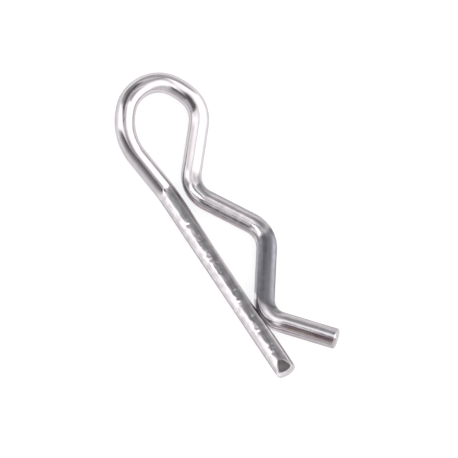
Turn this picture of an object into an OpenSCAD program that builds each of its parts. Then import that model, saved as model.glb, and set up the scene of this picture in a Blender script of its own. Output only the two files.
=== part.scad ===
// R clip: a hitch pin clip bent from one round spring wire.
// It lies flat. X runs along the straight leg towards its tip, Y towards the bent leg and Z up.
// The origin is on the axis of the held shaft, at mid height of the bent leg, with the leg along X.
// Lengths are in millimetres and angles in degrees.

/* [Wire] */
// Diameter of the wire
wire_d = 4; // [3.4:0.1:4.6]
// Round on the edge of the straight leg's tip
tip_round = 0.6; // [0.2:0.05:1.2]
// Chamfer on the edge of the bent leg's cut end
tail_chamfer = 0.15; // [0.05:0.05:0.5]

/* [Straight leg] */
// Length of the straight leg, from the kink to its tip
leg_len = 45; // [44:0.5:60]
// Turn of the wire at the kink, seen from above
kink_turn = 5.2; // [2:0.2:8]

/* [Loop] */
// Length of the straight neck, from the kink to the loop
neck_len = 9.6; // [7:0.1:13]
// Bend radius and turn where the neck opens into the loop
neck_r = 12.5; // [10:0.5:16]
neck_turn = 50; // [40:1:55]
// Bend radius and turn of the loop's crown
crown_r = 6.3; // [5:0.1:8]
crown_turn = 105; // [98:1:110]
// Bend radius and turn of the flatter stretch after the crown
brow_r = 13.5; // [10:0.5:18]
brow_turn = 18; // [12:1:24]
// Bend radius where the loop comes down into the shoulder
cheek_r = 6.9; // [6:0.1:9]

/* [Bent leg] */
// Slope of the shoulder, down from the loop to the throat
shoulder_slope = 40.2; // [34:0.2:46]
// Clearance between the throat's bend and the straight leg
throat_gap = 0.95; // [0.4:0.05:2]
// Slope of the ramp, up from the throat to the crest
ramp_slope = 28.2; // [22:0.2:34]
// Clear height under the crest, from the straight leg
crest_clear = 7.15; // [6.5:0.05:8.5]
// Slope of the fall, down from the crest to the heel
fall_slope = 34.8; // [29:0.2:41]
// How far the heel reaches under the straight leg, seen from above
heel_lap = 0.5; // [0:0.05:0.8]
// Gap left between the heel and the straight leg
heel_gap = 0.05; // [0.05:0.05:0.4]
// Slope of the tail, up and away from the straight leg
tail_slope = 38.7; // [32:0.1:46]
// Length of the straight tail, past the heel's bend
tail_len = 11.3; // [8:0.1:16]
// Bend radius at the throat and the crest, at mid wire
bend_r = 5.9; // [4.5:0.1:7]
// Bend radius at the heel, at mid wire
heel_r = 4.9; // [4:0.1:6.5]

/* [Marks of making] */
// Length and depth of the long hollow pressed into the straight leg's side
press_len = 36; // [20:1:40]
press_depth = 0.35; // [0.1:0.05:0.5]
// Distance from the kink to the middle of that hollow
press_at = 22; // [21:0.5:23]
// Depth and radius of one tooth mark of the gripping jaws
tooth_depth = 0.12; // [0.06:0.02:0.24]
tooth_r = 0.42; // [0.3:0.02:0.6]
// Distance from one tooth mark to the next
tooth_pitch = 0.85; // [0.7:0.05:1]
// Length and depth of the flat that the shear left on top of the tip
shear_len = 2.5; // [1:0.1:3.5]
shear_depth = 0.65; // [0.2:0.05:1]

/* [Hidden] */

// Groups of tooth marks on top of the straight leg: distance from the kink, number of teeth
TOOTH_GROUPS = [[8.5, 2], [13, 3], [16.5, 2], [20, 3], [27, 4], [33.5, 4], [39.6, 2]];
// Lean of the tooth marks off the top of the wire, away from the bent leg
TOOTH_LEAN = 8;
// Lean of the pressed hollow off the wire's side, upwards
PRESS_LEAN = 12;
// Neck and leg stop a whole number of these steps short of the kink's corner
KINK_STEP = 0.01;
// Turns are looked through in these steps, this many either way
SNAP_STEP = 0.001;
SNAP_COUNT = 100;
// The cutting tools stand this far clear of the wire
CLEAR = 1;
ROUND_FN = 64;
LONG_FN = 720;

wire_r = wire_d / 2;

// Heights of mid wire above the straight leg's line, seen from above
throat_y = wire_d + throat_gap;
crest_y = wire_d + crest_clear;
heel_y = wire_d - heel_lap;

// How far a bend climbs between its level point and the given slope
function climb(radius, slope) = radius * (1 - cos(slope));

// A step of the wire is [length] where it is straight and [radius, turn] where it bends,
// and a pose along it is [x, y, heading]
function after_straight(pose, length) =
    [pose[0] + length * cos(pose[2]), pose[1] + length * sin(pose[2]), pose[2]];
function after_bend(pose, radius, turn) =
    let (r = sign(turn) * radius, heading = pose[2] + turn)
    [pose[0] + r * (sin(heading) - sin(pose[2])), pose[1] - r * (cos(heading) - cos(pose[2])), heading];
function after_step(pose, step) =
    len(step) == 1 ? after_straight(pose, step[0]) : after_bend(pose, step[0], step[1]);
function after_steps(pose, steps, i = 0) =
    i == len(steps) ? pose : after_steps(after_step(pose, steps[i]), steps, i + 1);

// A number as an exchange file keeps it, with six digits
function kept(x) = let (unit = pow(10, floor(log(abs(x))) - 5)) round(x / unit) * unit;
// How much a rotation by this turn grows or shrinks when its sine and cosine are kept that way
function growth(turn) = abs(norm([kept(cos(turn)), kept(sin(turn))]) - 1);
// The turn within a tenth of a degree that is kept truest, so that the bend and what follows it
// meet face to face in the exchange file too
function true_turn(turn) =
    let (near = [for (i = [-SNAP_COUNT:SNAP_COUNT]) round(turn / SNAP_STEP + i) * SNAP_STEP])
    let (least = min([for (t = near) growth(t)]))
    [for (t = near) if (growth(t) == least) t][0];
// What the kept rotation turns too far
function overturn(turn) =
    let (kept_turn = atan2(kept(sin(turn)), kept(cos(turn))))
    kept_turn - turn;

// The turns of the wire. The cheek takes what the loop still lacks, and each slope after it
// is what the turns so far come to.
to_neck = true_turn(neck_turn);
to_crown = true_turn(crown_turn);
to_brow = true_turn(brow_turn);
to_cheek = true_turn(180 + kink_turn + shoulder_slope - to_neck - to_crown - to_brow);
shoulder_down = to_neck + to_crown + to_brow + to_cheek - 180 - kink_turn;
to_throat = true_turn(shoulder_down + ramp_slope);
ramp_up = to_throat - shoulder_down;
to_crest = true_turn(ramp_up + fall_slope);
fall_down = to_crest - ramp_up;
to_heel = true_turn(fall_down + tail_slope);

// The loop, from the kink round to the shoulder
loop_steps = [
    [neck_len],
    [neck_r, -to_neck],
    [crown_r, -to_crown],
    [brow_r, -to_brow],
    [cheek_r, -to_cheek]
];
neck_pose = [0, 0, 180 + kink_turn];
loop_end = after_steps(neck_pose, loop_steps);

// The straight stretches of the bent leg are as long as the heights between its bends ask
shoulder_len = (loop_end[1] - throat_y - climb(bend_r, shoulder_down)) / sin(shoulder_down);
ramp_len = (crest_y - throat_y - 2 * climb(bend_r, ramp_up)) / sin(ramp_up);
fall_len = (crest_y - heel_y - climb(bend_r, fall_down) - climb(heel_r, fall_down)) / sin(fall_down);
leg_steps = [
    [shoulder_len],
    [bend_r, to_throat],
    [ramp_len],
    [bend_r, -to_crest],
    [fall_len],
    [heel_r, to_heel],
    [tail_len - tail_chamfer]
];

// The level points of crest and heel
crest_pose = after_steps(loop_end, [leg_steps[0], leg_steps[1], leg_steps[2], [bend_r, -ramp_up]]);
heel_pose = after_steps(crest_pose, [[bend_r, -fall_down], leg_steps[4], [heel_r, fall_down]]);

// The straight leg rises from the kink, just enough to pass over the heel
leg_rise = asin(sqrt(pow(wire_d + heel_gap, 2) - pow(heel_y, 2)) / heel_pose[0]);

// At the kink the wire is upset into a ball, a trace thicker than the wire. Neck and leg end
// inside it, just before its middle.
kink_bend = acos(cos(leg_rise) * cos(kink_turn));
kink_cut = ceil(wire_r * tan(kink_bend / 2) / KINK_STEP + 1) * KINK_STEP;
kink_ball_r = norm([wire_r, 1.5 * kink_cut]);

module straight(length) {
    rotate([0, 90, 0]) cylinder(r = wire_r, h = length, $fn = ROUND_FN);
}

module bend(radius, turn) {
    start = turn > 0 ? -90 : 90 + turn;
    translate([0, sign(turn) * radius, 0])
        rotate_extrude(start = start, angle = abs(turn), $fn = 2 * ROUND_FN)
            translate([radius, 0]) circle(r = wire_r, $fn = ROUND_FN);
}

// Moves its children to the end of a bend
module past_bend(radius, turn) {
    side = sign(turn);
    translate([0, side * radius, 0])
        rotate(turn) rotate(-overturn(turn)) translate([0, -side * radius, 0]) children();
}

// Lays the steps of a wire one after another, and its children at the end
module wire(steps, i = 0) {
    if (i == len(steps)) {
        children();
    } else if (len(steps[i]) == 1) {
        straight(steps[i][0]);
        translate([steps[i][0], 0, 0]) wire(steps, i + 1) children();
    } else {
        bend(steps[i][0], steps[i][1]);
        past_bend(steps[i][0], steps[i][1]) wire(steps, i + 1) children();
    }
}

// The cut end of the bent leg
module chamfered_end() {
    rotate([0, 90, 0])
        cylinder(r1 = wire_r, r2 = wire_r - tail_chamfer, h = tail_chamfer, $fn = ROUND_FN);
}

// The rounded tip of the straight leg, over the last tip_round of its length
module rounded_end() {
    rotate([0, 90, 0]) {
        cylinder(r = wire_r - tip_round, h = tip_round, $fn = ROUND_FN);
        rotate_extrude($fn = ROUND_FN)
            translate([wire_r - tip_round, 0]) intersection() {
                circle(r = tip_round, $fn = ROUND_FN);
                square(tip_round);
            }
    }
}

// Long shallow hollow in the leg's side, as a wide roller would press it
module press_hollow() {
    roller_r = pow(press_len / 2, 2) / (2 * press_depth);
    rotate([PRESS_LEAN, 0, 0])
        translate([press_at, wire_r - press_depth + roller_r, 0])
            cylinder(r = roller_r, h = 2 * wire_d, center = true, $fn = LONG_FN);
}

// One group of tooth marks, centred
module tooth_marks(count) {
    for (i = [0:count - 1])
        translate([(i - (count - 1) / 2) * tooth_pitch, 0, wire_r + tooth_r - tooth_depth])
            rotate([90, 0, 0])
                cylinder(r = tooth_r, h = wire_d, center = true, $fn = ROUND_FN);
}

// Sloping flat on top of the tip
module shear_flat() {
    slope = atan(shear_depth / shear_len);
    translate([leg_len - shear_len, 0, wire_r])
        rotate([0, slope, 0])
            translate([-CLEAR, -wire_d, 0]) cube([shear_len + wire_d, 2 * wire_d, wire_d]);
}

// The straight leg along X from the kink, with the marks of the tools that made it
module straight_leg() {
    difference() {
        union() {
            translate([kink_cut, 0, 0]) straight(leg_len - kink_cut - tip_round);
            translate([leg_len - tip_round, 0, 0]) rounded_end();
        }
        press_hollow();
        rotate([TOOTH_LEAN, 0, 0])
            for (group = TOOTH_GROUPS) translate([group[0], 0, 0]) tooth_marks(group[1]);
        shear_flat();
    }
}

module kink_ball() {
    rotate([0, 90, neck_pose[2]]) sphere(r = kink_ball_r, $fn = ROUND_FN);
}

// Loop and bent leg, laid out from the kink's corner
module bent_wire() {
    rotate(neck_pose[2]) {
        translate([kink_cut, 0, 0]) straight(neck_len - kink_cut);
        translate([neck_len, 0, 0])
            wire(concat([for (i = [1:len(loop_steps) - 1]) loop_steps[i]], leg_steps)) chamfered_end();
    }
}

module r_clip() {
    color("silver")
        translate([-crest_pose[0], 0, 0])
            union() {
                rotate([0, -leg_rise, 0]) straight_leg();
                bent_wire();
                kink_ball();
            }
}

r_clip();
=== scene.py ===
"""Looks of an R clip: one bright plated spring wire, carried along its bends, under soft studio boxes.

The wire is one piece. Its section is carried along the centre line from the straight leg's tip, past
the kink and round the loop to the bent leg's cut end, and all marks of making are in the section.
Lengths in the tables below are in millimetres and angles in degrees.
"""

import math

import bpy
import numpy as np
from mathutils import Matrix, Vector


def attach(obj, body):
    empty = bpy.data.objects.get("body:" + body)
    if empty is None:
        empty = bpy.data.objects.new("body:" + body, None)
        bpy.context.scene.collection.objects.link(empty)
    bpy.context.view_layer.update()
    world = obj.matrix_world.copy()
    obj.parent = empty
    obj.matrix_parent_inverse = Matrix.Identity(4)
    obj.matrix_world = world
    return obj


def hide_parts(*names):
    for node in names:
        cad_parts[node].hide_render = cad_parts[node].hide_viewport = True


MM = 0.001
TURN = 2 * math.pi
# In the wire's section the angle is nought at the left hand of someone who walks along the wire
TOP = 90.0
RIGHT_HAND = 180.0

# The wire and its bends, as the construction has them
WIRE_R = 2.0
KINK = np.array([-17.4676, 0.0, 0.0])
LEG_LEN = 45.0
LEG_RISE = 3.67028
NECK_HEADING = 185.2
STRAIGHT, LEFT, RIGHT = 0, 1, -1
BENT_STEPS = [
    # turning, length or bend radius, turn
    (STRAIGHT, 9.6, 0.0),
    (RIGHT, 12.5, 49.926),
    (RIGHT, 6.3, 104.992),
    (RIGHT, 13.5, 17.994),
    (RIGHT, 6.9, 52.538),
    (STRAIGHT, 9.78773, 0.0),
    (LEFT, 5.9, 68.369),
    (STRAIGHT, 10.1999, 0.0),
    (RIGHT, 5.9, 63.005),
    (STRAIGHT, 9.98198, 0.0),
    (LEFT, 4.9, 73.538),
    (STRAIGHT, 11.3, 0.0),
]
# Half length of the kink's rounding, radius of the tip's edge, and the tail's chamfer
KINK_SOFT = 1.3
TIP_ROUND = 0.6
TAIL_CHAMFER = 0.15

# The hollow pressed into the straight leg's side: length, depth, distance of its middle from the
# kink, how far it leans from the side towards the top, how far past its ends its curve is followed,
# and the rounding of its edges
PRESS_LEN = 36.0
PRESS_DEPTH = 0.35
PRESS_AT = 22.0
PRESS_LEAN = 12.0
PRESS_RUN_OUT = 1.0
PRESS_SOFT = 0.04
# The shear's flat on the tip: length, depth at the tip, and how near a point counts as on it
SHEAR_LEN = 2.5
SHEAR_DEPTH = 0.65
SHEAR_NEAR = 0.01
# Groups of tooth marks: distance of the middle from the kink, number of marks
TOOTH_GROUPS = [(8.5, 2), (13.0, 3), (16.5, 2), (20.0, 3), (27.0, 4), (33.5, 4), (39.6, 2)]
TOOTH_DEPTH = 0.065
TOOTH_R = 0.42
TOOTH_SOFT = 0.03
TOOTH_PITCH = 0.85
# Angle of a group's middle mark from the top towards the right hand, and its change with each
# millimetre along the group
TOOTH_LEAN = 6.0
TOOTH_SLANT = -6.0
# Least cosine of the angle from a flat's middle at which the flat can still cut the section
FLAT_FACING = 0.05
# Dents that the teeth left beside their marks: distance from the tip, angle from the top towards the
# right hand, half length and half width in millimetres, depth
DENTS = [
    (4.4, -10.0, 0.55, 0.55, 0.102), (5.9, -14.0, 0.45, 0.50, 0.085), (5.1, 14.0, 0.60, 0.45, 0.051),
    (7.6, 2.0, 0.90, 0.50, 0.051), (9.5, -12.0, 0.50, 0.55, 0.111), (10.7, -9.0, 0.45, 0.50, 0.093),
    (11.7, -15.0, 0.50, 0.50, 0.085), (12.6, 8.0, 0.80, 0.50, 0.076), (14.6, -2.0, 0.90, 0.45, 0.043),
    (16.5, -14.0, 0.60, 0.50, 0.102), (17.8, -16.0, 0.55, 0.45, 0.085), (18.6, 7.0, 0.90, 0.45, 0.093),
    (21.5, 3.0, 1.20, 0.45, 0.051), (24.5, 6.0, 0.55, 0.50, 0.093), (25.7, 3.0, 0.55, 0.50, 0.102),
    (27.5, -10.0, 0.50, 0.55, 0.102), (28.6, -6.0, 0.55, 0.60, 0.119), (30.4, 1.0, 0.80, 0.45, 0.051),
    (31.8, 5.0, 0.65, 0.50, 0.093), (33.9, -3.0, 0.90, 0.50, 0.051), (36.2, -9.0, 0.55, 0.60, 0.111),
    (38.4, 4.0, 0.90, 0.45, 0.060), (41.0, 1.0, 1.10, 0.50, 0.043), (42.8, 7.0, 0.60, 0.50, 0.060),
]

# Finish along the wire, by distance from the straight leg's tip: the share of dark oxide, how
# rough the skin is, and how far the edges of both slant, in millimetres a degree from the top
OXIDE_SHARE = [(0.0, 0.0), (117.9, 0.0), (118.9, 1.0), (132.4, 1.0), (133.3, 0.0), (148.7, 0.0)]
ROUGHNESS = [
    (0.0, 0.13), (43.5, 0.13), (45.5, 0.11), (96.0, 0.11), (98.0, 0.16), (117.5, 0.18), (119.0, 0.42),
    (132.4, 0.42), (133.3, 0.20), (138.0, 0.17), (148.7, 0.17),
]
EDGE_SLANT = [
    (0.0, 0.0), (116.0, 0.0), (118.0, 0.012), (125.0, 0.0), (131.0, -0.045), (134.0, -0.045), (137.0, 0.0),
    (148.7, 0.0),
]
# How far the skin faces away from the built section: distance from the tip, turn about the X axis,
# turn about the Y axis
SKIN_TURN = [
    (0.0, 10.0, -20.0), (44.2, 10.0, -20.0), (45.4, 0.0, 0.0), (60.0, 2.0, -1.0), (62.5, 7.0, -6.0),
    (69.0, 5.0, -7.0), (72.0, 1.0, -3.0), (75.0, 0.0, 0.0), (80.0, 0.0, 0.0), (84.0, 4.0, 0.0),
    (88.0, 7.0, -4.0), (96.0, 6.0, -4.0), (98.2, 4.0, -3.0), (99.1, 0.0, 0.0), (100.4, 0.0, -1.0),
    (101.3, 3.0, -12.0), (103.4, 2.0, -12.0), (104.8, -8.0, -8.0), (115.0, -8.0, -8.0),
    (116.6, 3.0, -12.0), (118.3, 3.0, -12.0), (119.5, 0.0, -12.0), (131.0, -6.0, -12.0),
    (134.0, -18.0, -10.0), (136.5, -16.0, -12.0), (138.2, -2.0, -12.0), (144.5, -2.0, -12.0),
    (148.7, -6.0, -14.0),
]
# How uneven the skin is, by distance from the tip
UNEVEN = [
    (0.0, 0.35), (0.6, 0.35), (0.8, 1.0), (44.0, 1.0), (45.4, 0.3), (65.0, 0.2), (97.5, 0.15), (99.0, 0.5),
    (118.0, 0.5), (119.0, 0.7), (131.0, 0.7), (132.0, 0.4), (148.7, 0.4),
]
# Painted highlights and painted shade: streaks along the wire that lighten or darken the plating where
# its reflections are lighter or darker. Each row of a streak gives the distance from the tip, the angle
# from the top towards the right hand, the half width in degrees, and how much the plating gains at its
# middle.
PAINTED_LIGHT_STREAKS = [
    # the straight leg: its outer rim, its outer side, its inner side and its top towards the kink
    [(0.0, -65.0, 13.0, 0.30), (44.5, -65.0, 13.0, 0.30), (45.2, -65.0, 13.0, 0.0)],
    [(0.0, -31.0, 9.0, 0.30), (44.5, -31.0, 9.0, 0.30), (45.2, -31.0, 9.0, 0.0)],
    [(0.0, 58.0, 16.0, -0.15), (12.0, 58.0, 16.0, -0.25), (25.0, 58.0, 14.0, -0.50),
     (35.0, 58.0, 14.0, -0.50), (38.0, 58.0, 16.0, -0.30), (44.5, 58.0, 16.0, -0.30),
     (45.2, 58.0, 16.0, 0.0)],
    [(18.0, -2.0, 8.0, 0.0), (27.0, -2.0, 8.0, 0.50), (36.0, -1.0, 9.0, 0.60),
     (41.0, 0.0, 10.0, 1.10), (44.4, 0.0, 10.0, 1.10), (45.0, 0.0, 10.0, 0.0)],
    # the neck, from its outer rim to its top
    [(45.2, -58.0, 12.0, 0.0), (46.0, -58.0, 12.0, -0.22), (56.0, -58.0, 12.0, -0.15),
     (60.0, -58.0, 12.0, 0.0)],
    [(45.2, -30.0, 7.0, 0.0), (46.0, -30.0, 7.0, -0.25), (53.0, -30.0, 7.0, -0.25),
     (56.0, -28.0, 7.0, -0.38), (59.0, -28.0, 7.0, -0.38), (60.5, -28.0, 7.0, 0.0)],
    [(45.2, -16.0, 5.0, 0.0), (46.0, -16.0, 5.0, 0.40), (54.0, -16.0, 5.0, 0.40),
     (57.0, -16.0, 5.0, 0.0)],
    [(45.2, -2.0, 8.0, 0.0), (46.0, -2.0, 8.0, -0.48), (53.5, -2.0, 8.0, -0.50),
     (57.0, 3.0, 11.0, -0.68), (62.0, 11.0, 7.0, -0.40), (64.5, 14.0, 7.0, -0.30),
     (65.5, 14.0, 7.0, 0.0)],
    # the loop's crown and brow
    [(65.2, 6.0, 11.0, 0.0), (66.2, 6.0, 12.0, -0.50), (69.0, 6.0, 12.0, -0.55),
     (71.5, 11.0, 12.0, -0.62), (73.5, 4.0, 12.0, -0.55), (75.3, -8.0, 8.0, -0.45),
     (78.0, -14.0, 7.0, 0.0)],
    [(65.2, -18.0, 8.0, 0.0), (66.2, -18.0, 8.0, -0.36), (68.0, -18.0, 8.0, -0.36),
     (69.0, -18.0, 8.0, 0.0)],
    [(68.5, -22.0, 8.0, 0.0), (70.0, -20.0, 13.0, 0.60), (73.5, -22.0, 12.0, 0.60),
     (76.0, -28.0, 7.0, 0.55), (79.0, -34.0, 7.0, 0.0)],
    [(77.4, 4.0, 8.0, 0.0), (78.4, 4.0, 8.0, 0.60), (80.4, 4.0, 8.0, 0.60), (81.4, 2.0, 8.0, 0.0)],
    [(76.8, 43.0, 14.0, 0.0), (78.0, 43.0, 14.0, -0.38), (81.0, 41.0, 14.0, -0.38),
     (82.0, 20.0, 20.0, -0.25), (86.0, 16.0, 20.0, -0.25), (87.3, 12.0, 20.0, 0.0)],
    # the loop's straight cheek
    [(87.0, 22.0, 12.0, 0.0), (89.0, 22.0, 12.0, -0.40), (97.0, 20.0, 12.0, -0.40),
     (98.4, 20.0, 12.0, 0.0)],
    # the shoulder, where the cheek turns into the throat
    [(97.2, -20.0, 12.0, 0.0), (98.6, -20.0, 12.0, -0.40), (100.2, -16.0, 10.0, -0.30),
     (101.2, -16.0, 10.0, 0.0)],
    [(97.4, 14.0, 9.0, 0.0), (98.6, 14.0, 9.0, 0.35), (100.6, 14.0, 9.0, 0.35),
     (101.4, 14.0, 9.0, 0.0)],
    [(97.4, 32.0, 8.0, 0.0), (98.6, 32.0, 8.0, -0.33), (100.4, 32.0, 8.0, -0.33),
     (101.4, 32.0, 8.0, 0.0)],
    # the throat, with a painted highlight on top
    [(100.6, 14.0, 28.0, 0.0), (101.4, 14.0, 28.0, 0.70), (103.6, 14.0, 28.0, 0.70),
     (104.8, 14.0, 28.0, 0.0)],
    [(101.0, 2.0, 6.0, 0.0), (101.6, 2.0, 6.0, 0.45), (103.8, 2.0, 6.0, 0.45),
     (104.6, 2.0, 6.0, 0.0)],
    # both sides of the wire from the throat over the ramp to the crest, in painted shade
    [(97.6, -46.0, 24.0, 0.0), (99.2, -42.0, 24.0, -0.50), (101.0, -44.0, 24.0, -0.65),
     (104.5, -46.0, 20.0, -0.45), (105.5, -48.0, 18.0, -0.30), (118.0, -48.0, 18.0, -0.30),
     (118.8, -48.0, 18.0, 0.0)],
    [(98.0, 52.0, 16.0, 0.0), (99.5, 54.0, 16.0, -0.35), (103.5, 56.0, 18.0, -0.20),
     (105.0, 60.0, 22.0, -0.40), (117.0, 60.0, 22.0, -0.40), (118.5, 60.0, 22.0, 0.0)],
    # the crest, with painted highlights on its inner side and its top
    [(114.6, 30.0, 16.0, 0.0), (115.4, 32.0, 18.0, 0.70), (117.0, 28.0, 20.0, 0.70),
     (118.4, 10.0, 20.0, 0.50), (118.9, 6.0, 20.0, 0.0)],
    [(114.6, 3.0, 6.0, 0.0), (115.4, 3.0, 6.0, 0.50), (117.6, 3.0, 6.0, 0.50),
     (118.4, 3.0, 6.0, 0.0)],
    [(114.4, -19.0, 9.0, 0.0), (115.2, -19.0, 9.0, -0.35), (117.4, -19.0, 9.0, -0.35),
     (118.4, -19.0, 9.0, 0.0)],
    # the fall: painted highlights on its pale rims and its paler inner half, and painted shade on its
    # darker outer half
    [(118.8, -62.0, 17.0, 0.0), (119.6, -62.0, 17.0, 1.2), (133.5, -62.0, 17.0, 1.2),
     (134.5, -62.0, 17.0, 0.0)],
    [(118.8, -20.0, 20.0, 0.0), (119.6, -20.0, 20.0, -0.38), (133.5, -20.0, 20.0, -0.38),
     (134.5, -20.0, 20.0, 0.0)],
    [(118.8, 26.0, 17.0, 0.0), (119.6, 26.0, 17.0, 0.60), (131.5, 26.0, 17.0, 0.60),
     (132.5, 26.0, 17.0, 0.0)],
    [(118.8, 57.0, 15.0, 0.0), (119.6, 57.0, 15.0, 2.6), (130.5, 57.0, 15.0, 2.6),
     (131.5, 57.0, 15.0, 0.0)],
    # painted shade on the heel's outer side, a painted highlight on its top, which runs on along the tail,
    # and painted shade on its inner side
    [(133.2, -30.0, 20.0, 0.0), (134.4, -30.0, 20.0, -0.75), (136.5, -34.0, 16.0, -0.55),
     (138.0, -34.0, 14.0, 0.0)],
    [(131.9, 19.0, 9.0, 0.0), (132.6, 19.0, 9.0, 0.35), (136.5, 14.0, 10.0, 0.30),
     (138.0, 3.0, 9.0, 0.85), (148.7, 3.0, 9.0, 0.85)],
    [(131.5, 42.0, 13.0, 0.0), (132.4, 42.0, 13.0, -0.55), (135.5, 44.0, 13.0, -0.60),
     (137.5, 46.0, 13.0, 0.0)],
    # painted shade on the tail's outer side, its inner side and its inner rim
    [(137.0, -35.0, 8.0, 0.0), (138.5, -35.0, 8.0, -0.28), (148.7, -35.0, 8.0, -0.28)],
    [(137.0, 47.0, 22.0, 0.0), (138.5, 47.0, 22.0, -0.32), (148.7, 47.0, 22.0, -0.32)],
    [(137.0, 82.0, 16.0, 0.0), (138.5, 82.0, 16.0, -0.35), (148.7, 82.0, 16.0, -0.35)],
]
# Violet and straw streaks along the tail, a darker violet one with a straw one beside it, in rows of the
# same kind
VIOLET_STREAK = [
    (137.6, 17.0, 8.0, 0.0), (138.8, 18.0, 9.0, 0.80), (144.0, 20.0, 9.0, 0.80),
    (145.2, 23.0, 15.0, 0.95), (148.7, 23.0, 15.0, 0.95),
]
STRAW_STREAK = [
    (138.0, 33.0, 9.0, 0.0), (139.5, 33.0, 9.0, 0.5), (144.0, 35.0, 9.0, 0.5),
    (145.5, 40.0, 9.0, 0.4), (148.7, 40.0, 9.0, 0.4),
]
# Gain of the plating on the shear's flat, and the most that it may come to anywhere
SHEAR_GAIN = 0.38
MOST_GAIN = 3.0

# Colours of the plating and of the dark oxide where their gain is one, and of the violet and straw streaks
PLATING = (0.63, 0.59, 0.615, 1.0)
OXIDE = (0.180, 0.177, 0.198, 1.0)
VIOLET = (0.20, 0.135, 0.165, 1.0)
STRAW = (0.52, 0.39, 0.30, 1.0)

# Drawing lines, noise stretched along the wire: how often they repeat in a metre across and along it,
# how fine and how broken they are, and the strength and height in metres of their bump
LINES_IN_METRE = (2600.0, 2600.0, 90.0)
LINE_DETAIL = 3.0
LINE_BREAK_UP = 0.6
LINE_BUMP = 0.10
LINE_HEIGHT = 0.00002
# Satin bloom, noise that is alike in all directions: how often it repeats in a metre, how fine it is
# and how much it changes the roughness. Both noises lie about the same middle.
BLOOM_IN_METRE = 700.0
BLOOM_DETAIL = 4.0
BLOOM_ROUGHNESS = 0.16
NOISE_MIDDLE = 0.5
# Level of the tint that the plating takes at its rims
RIM_TINT = 0.75

# Fineness of the swept surface: points in a ring, the gaps between rings on plain wire, near the tip
# and the kink, and among the tooth marks, the rings on the tip's rounded edge and on an end face, and
# the angle past which an edge stays sharp
AROUND = 104
PLAIN_GAP = 0.36
FINE_GAP = 0.15
TOOTH_GAP = 0.105
EDGE_RINGS = 7
FACE_RINGS = 6
SHARP_ANGLE = 38.0

# Camera, worked out from the clip's outline, and the nearest and farthest that it sees in metres
LOOK_AT = Vector((-4.28, 6.20, 0.0)) * MM
TO_CAMERA = Vector((0.3155, -0.0525, 0.9475)).normalized()
CAMERA_RIGHT = Vector((0.5274, 0.8397, -0.1291))
CAMERA_FAR = 895.0 * MM
VIEW_WIDTH = 89.09 * MM
NEAREST = 0.01
FARTHEST = 100.0

# The floor's half width in metres, and the finish of its sheet, which is lit a little from within
FLOOR_HALF = 3.0
FLOOR_LEVEL = 0.30
FLOOR_ROUGHNESS = 0.9
FLOOR_SHINE = 0.2
FLOOR_GLOW = 0.75


def step_lengths():
    """Length of each step of the bent wire: its own length where straight, radius times turn where bent."""
    return np.array(
        [
            size if side == STRAIGHT else size * math.radians(turn)
            for side, size, turn in BENT_STEPS
        ]
    )


def bent_line(along):
    """Points and headings at the distances along the bent wire from the kink.

    A straight adds distance times its direction. A bend adds its radius times the change of (sine,
    minus cosine) of the heading, with the sign of its turn.
    """
    lengths = step_lengths()
    starts = np.concatenate([[0.0], np.cumsum(lengths)])
    x, y = KINK[0], KINK[1]
    heading = math.radians(NECK_HEADING)
    points = np.zeros((len(along), 2))
    headings = np.zeros(len(along))
    for i, (side, size, turn) in enumerate(BENT_STEPS):
        is_last = i == len(BENT_STEPS) - 1
        here = (along >= starts[i]) & ((along < starts[i + 1]) | is_last)
        t = np.append(along[here] - starts[i], lengths[i])
        if side == STRAIGHT:
            h = np.full(len(t), heading)
            px = x + t * math.cos(heading)
            py = y + t * math.sin(heading)
        else:
            h = heading + side * t / size
            px = x + side * size * (np.sin(h) - math.sin(heading))
            py = y - side * size * (np.cos(h) - math.cos(heading))
        points[here] = np.stack([px[:-1], py[:-1]], axis=1)
        headings[here] = h[:-1]
        x, y, heading = px[-1], py[-1], h[-1]
    return points, headings


def centre_line(station):
    """Points and unit tangents at the distances from the straight leg's tip.

    The leg is a straight line that falls to the kink's corner, and the bent wire follows from there.
    Near the corner both give way to the parabola that touches them.
    """
    rise = math.radians(LEG_RISE)
    up_leg = np.array([math.cos(rise), 0.0, math.sin(rise)])
    on_leg = station < LEG_LEN
    along = np.maximum(station - LEG_LEN, 0.0)
    flat, headings = bent_line(along)
    points = np.column_stack([flat, np.zeros(len(station))])
    tangents = np.column_stack([np.cos(headings), np.sin(headings), np.zeros(len(station))])
    points[on_leg] = KINK + np.outer(LEG_LEN - station[on_leg], up_leg)
    tangents[on_leg] = -up_leg
    heading = math.radians(NECK_HEADING)
    down_neck = np.array([math.cos(heading), math.sin(heading), 0.0])
    near = np.abs(station - LEG_LEN) < KINK_SOFT
    t = (station[near] - LEG_LEN + KINK_SOFT) / (2 * KINK_SOFT)
    before = KINK + KINK_SOFT * up_leg
    after = KINK + KINK_SOFT * down_neck
    in_corner = np.outer((1 - t) ** 2, before) + np.outer(2 * t * (1 - t), KINK)
    points[near] = in_corner + np.outer(t**2, after)
    slope = np.outer(1 - t, KINK - before) + np.outer(t, after - KINK)
    tangents[near] = slope / np.linalg.norm(slope, axis=1)[:, None]
    return points, tangents


def tooth_marks():
    """Distance from the kink and angle from the top of each tooth mark, group by group.

    A mark stands off its group's middle by a whole or half number of pitches, and its angle
    changes from TOOTH_LEAN by TOOTH_SLANT degrees a millimetre of that.
    """
    marks = []
    for middle, count in TOOTH_GROUPS:
        off = (np.arange(count) - (count - 1) / 2) * TOOTH_PITCH
        marks.append(np.column_stack([middle + off, TOOTH_LEAN + TOOTH_SLANT * off]))
    return np.concatenate(marks)


def flat_cut(height, angle, towards):
    """Radius at which a flat cuts the section: its height over the cosine of the angle from its middle."""
    facing = np.cos(angle - math.radians(towards))
    return np.where(facing > FLAT_FACING, height / np.maximum(facing, FLAT_FACING), np.inf)


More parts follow.
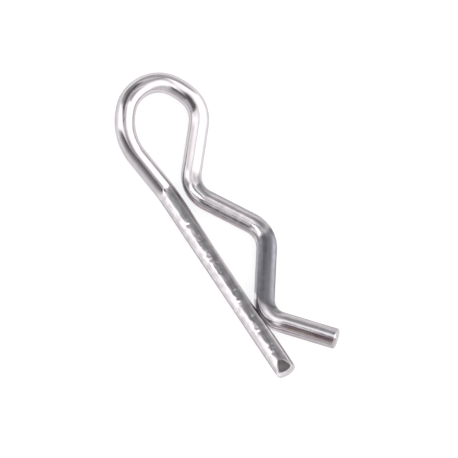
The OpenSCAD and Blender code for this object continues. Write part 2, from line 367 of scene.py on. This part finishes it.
def soft_min(a, b, width):
    """The lesser of two, with a rounded corner where they cross.

    Where they differ by less than the width, a quarter of the width is taken off, times the square
    of the share of the width that is left.
    """
    left = np.clip(width - np.abs(a - b), 0.0, None) / width
    return np.minimum(a, b) - left**2 * width / 4


def shear_height(station):
    """Height of the shear's flat over the wire's middle: a slope that falls towards the tip."""
    return WIRE_R + (station - SHEAR_LEN) * SHEAR_DEPTH / SHEAR_LEN


def section(station, angle):
    """Radius of the wire at a distance from the tip and an angle round it.

    It is the wire's radius, cut by the flats of the pressed hollow, of the tooth marks and of the
    shear, and lowered by the dents. The hollow's depth follows a roller's circle, a tooth mark's a
    cosine wave, and a dent's is exp(-(offset / half size) squared) both along and across the wire.
    """
    from_kink = LEG_LEN - station
    radius = np.full(np.broadcast(station, angle).shape, WIRE_R)
    roller = (PRESS_LEN / 2) ** 2 / (2 * PRESS_DEPTH)
    off = np.clip(np.abs(from_kink - PRESS_AT), None, PRESS_LEN / 2 + PRESS_RUN_OUT)
    sunk = PRESS_DEPTH - (roller - np.sqrt(roller**2 - off**2))
    radius = soft_min(radius, flat_cut(WIRE_R - sunk, angle, RIGHT_HAND - PRESS_LEAN), PRESS_SOFT)
    for place, from_top in tooth_marks():
        off = np.clip(np.abs(from_kink - place) / TOOTH_R, None, 1.0)
        sunk = TOOTH_DEPTH * (1 + np.cos(math.pi * off)) / 2
        radius = soft_min(radius, flat_cut(WIRE_R - sunk, angle, TOP + from_top), TOOTH_SOFT)
    for place, from_top, half_length, half_width, depth in DENTS:
        along = (station - place) / half_length
        across = WIRE_R * (angle - math.radians(TOP + from_top)) / half_width
        radius = radius - depth * np.exp(-(along**2) - across**2)
    return np.minimum(radius, flat_cut(shear_height(station), angle, TOP))


def spaced(start, end, gap):
    """Even stations from start to the last one short of end, with about this gap between them."""
    return np.linspace(start, end, max(2, int(round((end - start) / gap)) + 1))[:-1]


def ring_table():
    """Station of every ring of the sweep, and the radius that it may not pass.

    Both ends start from a point and spread over the end face. The tip's edge is a quarter of a
    circle, and the tail's a chamfer. Rings stand close where the tooth marks are.
    """
    total = LEG_LEN + step_lengths().sum()
    tip_face = np.linspace(0.0, WIRE_R - TIP_ROUND, FACE_RINGS)[1:-1]
    quarter = np.linspace(0.0, math.pi / 2, EDGE_RINGS)
    tip_station = TIP_ROUND * (1 - np.cos(quarter))
    tip_limit = WIRE_R - TIP_ROUND + TIP_ROUND * np.sin(quarter)
    marks = tooth_marks()[:, 0]
    marks_start = LEG_LEN - (marks[-1] + TOOTH_PITCH)
    marks_end = LEG_LEN - (marks[0] - TOOTH_PITCH)
    shank = np.concatenate(
        [
            spaced(TIP_ROUND, marks_start, FINE_GAP),
            spaced(marks_start, marks_end, TOOTH_GAP),
            spaced(marks_end, LEG_LEN - KINK_SOFT, PLAIN_GAP),
            spaced(LEG_LEN - KINK_SOFT, LEG_LEN + KINK_SOFT, FINE_GAP),
            spaced(LEG_LEN + KINK_SOFT, total - TAIL_CHAMFER, PLAIN_GAP),
        ]
    )[1:]
    tail_face = np.linspace(WIRE_R - TAIL_CHAMFER, 0.0, FACE_RINGS)[1:-1]
    station = np.concatenate(
        [
            np.zeros(len(tip_face)),
            tip_station,
            shank,
            [total - TAIL_CHAMFER, total],
            np.full(len(tail_face), total),
        ]
    )
    limit = np.concatenate(
        [
            tip_face,
            tip_limit,
            np.full(len(shank), np.inf),
            [np.inf, WIRE_R - TAIL_CHAMFER],
            tail_face,
        ]
    )
    return station, limit


def swept_wire(name):
    """The whole wire as one closed surface.

    A point is centre(station) + radius(station, angle) * (cosine * side + sine * top), where side
    is level and square to the tangent and top is square to both. The end faces close in a point.
    """
    station, limit = ring_table()
    centre, tangent = centre_line(station)
    side = np.cross([0.0, 0.0, 1.0], tangent)
    side /= np.linalg.norm(side, axis=1)[:, None]
    top = np.cross(tangent, side)
    angle = np.linspace(0.0, TURN, AROUND, endpoint=False)
    radius = np.minimum(section(station[:, None], angle[None, :]), limit[:, None])
    cosine = np.cos(angle)[:, None]
    sine = np.sin(angle)[:, None]
    outwards = cosine * side[:, None, :] + sine * top[:, None, :]
    rings = centre[:, None, :] + radius[:, :, None] * outwards
    points = np.concatenate([rings.reshape(-1, 3), centre[:1], centre[-1:]])
    mesh = bpy.data.meshes.new(name)
    mesh.from_pydata((points * MM).tolist(), [], wire_faces(len(station)))
    mesh.update()
    add_unwrap(mesh, station)
    on_side = np.isinf(limit)[:, None, None]
    lean = np.where(on_side, turned(outwards, station) - outwards, 0.0).reshape(-1, 3)
    lean = np.concatenate([lean, np.zeros((2, 3))])
    add_finish(mesh, straightened(station, radius, angle), lean)
    mesh.polygons.foreach_set("use_smooth", np.ones(len(mesh.polygons), dtype=bool))
    mesh.set_sharp_from_angle(angle=math.radians(SHARP_ANGLE))
    piece = bpy.data.objects.new(name, mesh)
    bpy.context.scene.collection.objects.link(piece)
    return piece


def wire_faces(count):
    """Faces of the wire: four corners between neighbouring rings, and a fan over each end's point.

    Point j of ring k has the number k * AROUND + j, and both end points follow after the rings.
    """
    k, j = np.meshgrid(np.arange(count - 1), np.arange(AROUND), indexing="ij")
    j_next = (j + 1) % AROUND
    quads = np.stack(
        [
            k * AROUND + j,
            k * AROUND + j_next,
            (k + 1) * AROUND + j_next,
            (k + 1) * AROUND + j,
        ],
        axis=2,
    ).reshape(-1, 4)
    around = np.arange(AROUND)
    around_next = (around + 1) % AROUND
    last_ring = (count - 1) * AROUND
    tip_point = np.full(AROUND, count * AROUND)
    tail_point = tip_point + 1
    tip_fan = np.column_stack([tip_point, around_next, around])
    tail_fan = np.column_stack([tail_point, last_ring + around, last_ring + around_next])
    return quads.tolist() + tip_fan.tolist() + tail_fan.tolist()


def straightened(station, radius, angle):
    """Place of every point if the wire is pulled straight: radius * (cosine, sine), and the station.

    Both end points follow after the rings, on the middle line.
    """
    rings = np.stack(
        [
            radius * np.cos(angle),
            radius * np.sin(angle),
            np.broadcast_to(station[:, None], radius.shape),
        ],
        axis=2,
    )
    ends = [[0.0, 0.0, station[0]], [0.0, 0.0, station[-1]]]
    return np.concatenate([rings.reshape(-1, 3), ends])


def add_finish(mesh, place, lean):
    """What the material reads at every point, looked up at its place on the straightened wire.

    The edges of the oxide and of the roughness slant, so there a point is looked up at its distance
    from the tip less the slant times its angle from the top.
    """
    left, height, station = place.T
    from_top = np.degrees(np.arctan2(-left, height))
    on_shear = height > shear_height(station) - SHEAR_NEAR
    slanted = station - along_table(station, EDGE_SLANT) * from_top
    add_vectors(mesh, "straightened", place * MM)
    # The gain holds the painted highlights and painted shade along the wire, and a fixed gain on the
    # shear's flat.
    add_numbers(mesh, "gain", np.where(on_shear, SHEAR_GAIN, painted_light_gain(station, from_top)))
    add_numbers(mesh, "oxide", along_table(slanted, OXIDE_SHARE))
    add_numbers(mesh, "violet_streak", bell(station, from_top, VIOLET_STREAK))
    add_numbers(mesh, "straw_streak", bell(station, from_top, STRAW_STREAK))
    add_numbers(mesh, "roughness", along_table(slanted, ROUGHNESS))
    add_numbers(mesh, "uneven", along_table(station, UNEVEN))
    add_vectors(mesh, "lean", np.where(on_shear[:, None], 0.0, lean))


def along_table(station, table):
    """Values between the rows of a table of (distance from the tip, value), by straight lines."""
    at, value = np.array(table).T
    return np.interp(station, at, value)


def turned(facing, station):
    """The directions of each ring, turned about the X axis and then about the Y axis.

    Each turn mixes the other two coordinates by the cosine and sine of the table's angle.
    """
    at, about_x, about_y = np.array(SKIN_TURN).T
    a = np.radians(np.interp(station, at, about_x))[:, None]
    b = np.radians(np.interp(station, at, about_y))[:, None]
    x, y, z = np.moveaxis(facing, 2, 0)
    y, z = y * np.cos(a) - z * np.sin(a), y * np.sin(a) + z * np.cos(a)
    x, z = x * np.cos(b) + z * np.sin(b), z * np.cos(b) - x * np.sin(b)
    return np.stack([x, y, z], axis=2)


def painted_light_gain(station, from_top):
    """Gain of the streaks at a distance from the tip and an angle from the top.

    It is the product of one plus each painted streak's bell, a painted highlight where the bell is above
    nought and painted shade where it is below.
    """
    gain = np.ones(len(station))
    for streak in PAINTED_LIGHT_STREAKS:
        gain *= 1 + bell(station, from_top, streak)
    return gain


def bell(station, from_top, rows):
    """A ridge along the wire, its strength times exp(-(offset / half width) squared).

    Its middle, half width and strength go from row to row by straight lines.
    """
    at, centre, half, strength = np.array(rows).T
    offset = (from_top - np.interp(station, at, centre)) / np.interp(station, at, half)
    return np.interp(station, at, strength) * np.exp(-(offset**2))


def add_numbers(mesh, name, values):
    """A number at every point of the mesh, for the material to read."""
    attribute = mesh.attributes.new(name, "FLOAT", "POINT")
    attribute.data.foreach_set("value", values.astype(np.float32))


def add_vectors(mesh, name, values):
    """A vector at every point of the mesh, for the material to read."""
    attribute = mesh.attributes.new(name, "FLOAT_VECTOR", "POINT")
    attribute.data.foreach_set("vector", values.astype(np.float32).ravel())


def add_unwrap(mesh, station):
    """UV map of the wire laid out flat: distance along it to the right, turn round it upwards.

    Both are shares of the whole, and an end's point stands over the middle of each face of its fan.
    """
    along = station / station.max()
    k, j = np.meshgrid(np.arange(len(station) - 1), np.arange(AROUND), indexing="ij")
    u = np.stack([along[k], along[k], along[k + 1], along[k + 1]], axis=2)
    v = np.stack([j, j + 1, j + 1, j], axis=2) / AROUND
    body = np.stack([u, v], axis=3).reshape(-1, 2)
    around = np.arange(AROUND)
    tip = np.stack(
        [
            np.zeros((AROUND, 3)),
            np.column_stack([around + 0.5, around + 1, around]) / AROUND,
        ],
        axis=2,
    ).reshape(-1, 2)
    tail = np.stack(
        [
            np.ones((AROUND, 3)),
            np.column_stack([around + 0.5, around, around + 1]) / AROUND,
        ],
        axis=2,
    ).reshape(-1, 2)
    layer = mesh.uv_layers.new(name="along_wire")
    layer.data.foreach_set("uv", np.concatenate([body, tip, tail]).astype(np.float32).ravel())


# Sockets of a Mix node that are for colours
MIX_FIRST = 6
MIX_SECOND = 7
MIX_RESULT = 2


class Nodes:
    """Short ways to add shader nodes to one tree and to join them."""

    def __init__(self, tree):
        """The tree that the nodes go to, emptied first."""
        self.tree = tree
        tree.nodes.clear()

    def add(self, kind, inputs=None, **settings):
        """One node, with its settings and with numbers or other nodes' outputs on its sockets."""
        node = self.tree.nodes.new(kind)
        for key, value in settings.items():
            setattr(node, key, value)
        for socket, value in (inputs or {}).items():
            self.put(node.inputs[socket], value)
        return node

    def put(self, socket, value):
        """A link where the value is another node's output, and otherwise the socket's own number."""
        if isinstance(value, bpy.types.NodeSocket):
            self.tree.links.new(value, socket)
        else:
            socket.default_value = value

    def attribute(self, name, output="Fac"):
        """What the mesh holds under this name, as a number or by another output of the node."""
        return self.add("ShaderNodeAttribute", attribute_name=name).outputs[output]

    def math(self, operation, *values):
        """One step of arithmetic on numbers."""
        node = self.add("ShaderNodeMath", dict(enumerate(values)), operation=operation)
        return node.outputs[0]

    def vector(self, operation, *values, output=0):
        """One step of arithmetic on vectors, of which some give a number on another output."""
        node = self.add("ShaderNodeVectorMath", dict(enumerate(values)), operation=operation)
        return node.outputs[output]

    def length(self, x, y):
        """Length of a flat arrow: the root of the sum of both squares."""
        squares = self.math("ADD", self.math("MULTIPLY", x, x), self.math("MULTIPLY", y, y))
        return self.math("SQRT", squares)

    def step(self, value, start, end):
        """Smooth step from 0 at start to 1 at end, which may lie either way round."""
        node = self.add(
            "ShaderNodeMapRange",
            {"Value": value, "From Min": start, "From Max": end, "To Min": 0.0, "To Max": 1.0},
            interpolation_type="SMOOTHSTEP",
        )
        return node.outputs[0]

    def mix(self, share, first, second):
        """Two colours mixed, with this share of the second."""
        node = self.add(
            "ShaderNodeMix",
            {"Factor": share, MIX_FIRST: first, MIX_SECOND: second},
            data_type="RGBA",
        )
        return node.outputs[MIX_RESULT]


def grey(level, warmth=0.0):
    """A light grey of this level, warmer above nought and cooler below."""
    return (level * (1 + warmth), level, level * (1 - warmth), 1.0)


# The studio: soft boxes and flags on a big sphere round the clip. They are placed as they show in a
# small mirror ball seen along the studio's axis, by bearing round and reach from the spot that a
# level surface mirrors.
LEVEL_SPOT = (-0.13, 0.29)
BEARING_ZERO = 255.0
ROOM = grey(0.84, -0.02)
# The big soft box is an oval in the mirror ball, and is lit only past a bearing
BOX_LIGHT = grey(1.85)
BOX_CENTRE = (0.27, 0.08)
BOX_HALF = (0.62, 0.58)
BOX_EDGE = 0.16
BOX_START = 233.0
# The eave is what lies above a sloping line in the mirror ball. It pales from left to right, and is
# gone at the first of two reaches and whole at the second.
EAVE_HEIGHT = 0.55
EAVE_SLOPE = 0.16
EAVE_SOFT = 0.04
EAVE_DARK = grey(0.36, -0.02)
EAVE_PALE = grey(0.66, -0.02)
EAVE_FADE = (-0.25, 0.45)
EAVE_REACH = (1.0, 0.5)
# Flags and small boxes: bearing from and to, reach from and to, softness of the outer reach, light
FLAGS = [
    (57.0, 150.0, 0.00, 0.60, 0.25, grey(0.48, -0.02)),
    (136.0, 172.0, 0.07, 0.34, 0.16, grey(0.17)),
    (290.0, 340.0, 0.00, 0.34, 0.16, grey(0.48)),
    (172.0, 195.0, 0.00, 0.70, 0.20, grey(1.75)),
    (194.0, 225.0, 0.04, 0.47, 0.16, grey(0.18, 0.03)),
    (223.0, 242.0, 0.30, 0.58, 0.10, grey(0.20, 0.03)),
]
# Softness of a flag's sides in degrees of bearing, and of its inner reach
FLAG_EDGE = 2.5
FLAG_SOFT = 0.04
# The glow round the level spot: reach, softness, light
SPOT = (0.07, 0.05, grey(1.15))


def past_zero(bearing):
    """A bearing as the world measures it, from its zero round to half a turn either way."""
    return (bearing - BEARING_ZERO + 180.0) % 360.0 - 180.0


def window(nodes, bearing, reach, first, last, start, end, soft):
    """Share of a flag at a bearing and reach: all of it between its edges, none outside them.

    It is the product of a smooth step at each edge. A flag that starts at reach nought has no inner one.
    """
    low = nodes.step(bearing, past_zero(first) - FLAG_EDGE, past_zero(first) + FLAG_EDGE)
    high = nodes.step(bearing, past_zero(last) + FLAG_EDGE, past_zero(last) - FLAG_EDGE)
    inside = nodes.step(reach, end + soft, end - soft)
    share = nodes.math("MULTIPLY", nodes.math("MULTIPLY", low, high), inside)
    if start > 0:
        share = nodes.math("MULTIPLY", share, nodes.step(reach, start - FLAG_SOFT, start + FLAG_SOFT))
    return share


def camera_axes():
    """Right and up of the camera: its right hand, squared to the line of sight, and their cross."""
    right = (CAMERA_RIGHT - TO_CAMERA * CAMERA_RIGHT.dot(TO_CAMERA)).normalized()
    return right, TO_CAMERA.cross(right)


def studio_world():
    """Light from all round, worked out from direction alone: a pale room, a soft box, an eave and flags.

    The mirror ball's point for a direction is the unit vector halfway to the studio's axis. Its
    offset from the level spot, turned by the zero bearing, gives bearing and reach.
    """
    world = bpy.data.worlds.new("studio")
    world.use_nodes = True
    nodes = Nodes(world.node_tree)
    right, up = camera_axes()
    direction = nodes.add("ShaderNodeTexCoord").outputs["Generated"]
    halfway = nodes.vector("NORMALIZE", nodes.vector("ADD", direction, tuple(TO_CAMERA)))
    ball_x = nodes.vector("DOT_PRODUCT", halfway, tuple(right), output=1)
    ball_y = nodes.vector("DOT_PRODUCT", halfway, tuple(up), output=1)
    dx = nodes.math("SUBTRACT", ball_x, LEVEL_SPOT[0])
    dy = nodes.math("SUBTRACT", ball_y, LEVEL_SPOT[1])
    zero = math.radians(BEARING_ZERO)
    along = nodes.math(
        "ADD",
        nodes.math("MULTIPLY", dx, math.cos(zero)),
        nodes.math("MULTIPLY", dy, math.sin(zero)),
    )
    across = nodes.math(
        "SUBTRACT",
        nodes.math("MULTIPLY", dy, math.cos(zero)),
        nodes.math("MULTIPLY", dx, math.sin(zero)),
    )
    bearing = nodes.math("DEGREES", nodes.math("ARCTAN2", across, along))
    reach = nodes.length(dx, dy)
    box_x = nodes.math("DIVIDE", nodes.math("SUBTRACT", ball_x, BOX_CENTRE[0]), BOX_HALF[0])
    box_y = nodes.math("DIVIDE", nodes.math("SUBTRACT", ball_y, BOX_CENTRE[1]), BOX_HALF[1])
    in_oval = nodes.step(nodes.length(box_x, box_y), 1 + BOX_EDGE, 1 - BOX_EDGE)
    lit_from = past_zero(BOX_START)
    lit_side = nodes.step(bearing, lit_from - FLAG_EDGE, lit_from + FLAG_EDGE)
    light = nodes.mix(nodes.math("MULTIPLY", in_oval, lit_side), ROOM, BOX_LIGHT)
    line = nodes.math("MULTIPLY_ADD", ball_x, EAVE_SLOPE, EAVE_HEIGHT)
    over_line = nodes.step(nodes.math("SUBTRACT", ball_y, line), -EAVE_SOFT, EAVE_SOFT)
    in_eave = nodes.math("MULTIPLY", over_line, nodes.step(reach, *EAVE_REACH))
    eave = nodes.mix(nodes.step(ball_x, *EAVE_FADE), EAVE_DARK, EAVE_PALE)
    light = nodes.mix(in_eave, light, eave)
    for first, last, start, end, soft, shade in FLAGS:
        light = nodes.mix(window(nodes, bearing, reach, first, last, start, end, soft), light, shade)
    size, soft, shade = SPOT
    light = nodes.mix(nodes.step(reach, size + soft, size - soft), light, shade)
    mirrored = nodes.add("ShaderNodeBackground", {"Color": light, "Strength": 1.0})
    seen = nodes.add("ShaderNodeBackground", {"Color": grey(1.0), "Strength": 1.0})
    straight_look = nodes.add("ShaderNodeLightPath").outputs["Is Camera Ray"]
    shown = nodes.add(
        "ShaderNodeMixShader",
        {0: straight_look, 1: mirrored.outputs[0], 2: seen.outputs[0]},
    )
    nodes.add("ShaderNodeOutputWorld", {"Surface": shown.outputs[0]})
    bpy.context.scene.world = world


def plated_wire():
    """Bright zinc plating on drawn wire, with fine drawing lines along it and a satin bloom.

    The colour is the plating's, mixed to the oxide's by the oxide's share, times the gain of the
    painted highlights and painted shade and an uneven shade of lines and bloom, with the violet and
    straw streaks laid over it. The skin faces as the surface does, plus its lean.
    """
    material = bpy.data.materials.new("plated_wire")
    material.use_nodes = True
    nodes = Nodes(material.node_tree)
    place = nodes.attribute("straightened", "Vector")
    lines = nodes.add(
        "ShaderNodeTexNoise",
        {
            "Vector": nodes.vector("MULTIPLY", place, LINES_IN_METRE),
            "Scale": 1.0,
            "Detail": LINE_DETAIL,
            "Roughness": LINE_BREAK_UP,
        },
    ).outputs[0]
    bloom = nodes.add(
        "ShaderNodeTexNoise",
        {"Vector": place, "Scale": BLOOM_IN_METRE, "Detail": BLOOM_DETAIL},
    ).outputs[0]
    lines_off = nodes.math("SUBTRACT", lines, NOISE_MIDDLE)
    bloom_off = nodes.math("SUBTRACT", bloom, NOISE_MIDDLE)
    rough = nodes.math("MULTIPLY_ADD", bloom_off, BLOOM_ROUGHNESS, nodes.attribute("roughness"))
    mottle = nodes.math("ADD", bloom_off, lines_off)
    shade = nodes.math("MULTIPLY_ADD", mottle, nodes.attribute("uneven"), 1.0)
    # The painted highlights and painted shade of the gain, times the uneven shade of lines and bloom.
    gain = nodes.math("MULTIPLY", nodes.attribute("gain"), shade)
    held_gain = nodes.math("MINIMUM", gain, MOST_GAIN)
    skin = nodes.mix(nodes.attribute("oxide"), PLATING, OXIDE)
    colour = nodes.add(
        "ShaderNodeVectorMath",
        {0: skin, "Scale": held_gain},
        operation="SCALE",
    ).outputs[0]
    colour = nodes.mix(nodes.attribute("straw_streak"), colour, STRAW)
    colour = nodes.mix(nodes.attribute("violet_streak"), colour, VIOLET)
    surface = nodes.add("ShaderNodeNewGeometry").outputs["Normal"]
    leant = nodes.vector("ADD", surface, nodes.attribute("lean", "Vector"))
    bump = nodes.add(
        "ShaderNodeBump",
        {
            "Strength": LINE_BUMP,
            "Distance": LINE_HEIGHT,
            "Height": lines,
            "Normal": nodes.vector("NORMALIZE", leant),
        },
    ).outputs[0]
    shader = nodes.add(
        "ShaderNodeBsdfPrincipled",
        {
            "Base Color": colour,
            "Metallic": 1.0,
            "Roughness": rough,
            "Specular Tint": grey(RIM_TINT),
            "Normal": bump,
        },
    )
    nodes.add("ShaderNodeOutputMaterial", {"Surface": shader.outputs[0]})
    return material


def pale_floor():
    """A plain pale sheet under the clip, at the height of its lowest point."""
    mesh = bpy.data.meshes.new("floor")
    z = -WIRE_R * MM
    corners = [(x * FLOOR_HALF, y * FLOOR_HALF, z) for x, y in ((-1, -1), (1, -1), (1, 1), (-1, 1))]
    mesh.from_pydata(corners, [], [(0, 1, 2, 3)])
    mesh.update()
    floor = bpy.data.objects.new("floor", mesh)
    bpy.context.scene.collection.objects.link(floor)
    material = bpy.data.materials.new("pale_sheet")
    material.use_nodes = True
    nodes = Nodes(material.node_tree)
    shader = nodes.add(
        "ShaderNodeBsdfPrincipled",
        {
            "Base Color": grey(FLOOR_LEVEL),
            "Roughness": FLOOR_ROUGHNESS,
            "Specular IOR Level": FLOOR_SHINE,
            "Emission Color": grey(1.0),
            "Emission Strength": FLOOR_GLOW,
        },
    )
    nodes.add("ShaderNodeOutputMaterial", {"Surface": shader.outputs[0]})
    mesh.materials.append(material)


def place_camera():
    """Camera at the photograph's angle, far off, looking at the middle of the clip.

    Its angle of view is twice the arc tangent of half the view's width over the distance.
    """
    right, up = camera_axes()
    lens = bpy.data.cameras.new("camera")
    lens.angle = 2 * math.atan(VIEW_WIDTH / 2 / CAMERA_FAR)
    lens.clip_start = NEAREST
    lens.clip_end = FARTHEST
    camera = bpy.data.objects.new("camera", lens)
    turn = Matrix((right, up, TO_CAMERA)).transposed()
    camera.matrix_world = Matrix.Translation(LOOK_AT + TO_CAMERA * CAMERA_FAR) @ turn.to_4x4()
    bpy.context.scene.collection.objects.link(camera)
    bpy.context.scene.camera = camera


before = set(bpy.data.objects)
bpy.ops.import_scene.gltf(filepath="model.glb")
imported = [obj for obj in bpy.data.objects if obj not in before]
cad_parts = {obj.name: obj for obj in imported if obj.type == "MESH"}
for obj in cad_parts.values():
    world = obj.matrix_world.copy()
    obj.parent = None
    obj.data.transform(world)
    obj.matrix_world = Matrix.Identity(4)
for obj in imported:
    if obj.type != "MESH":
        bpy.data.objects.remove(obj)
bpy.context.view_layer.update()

place_camera()
studio_world()
pale_floor()

wire = swept_wire("spring_wire")
wire.data.materials.append(plated_wire())
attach(wire, "root")
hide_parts("r_clip")

bpy.context.scene.view_settings.view_transform = "Standard"
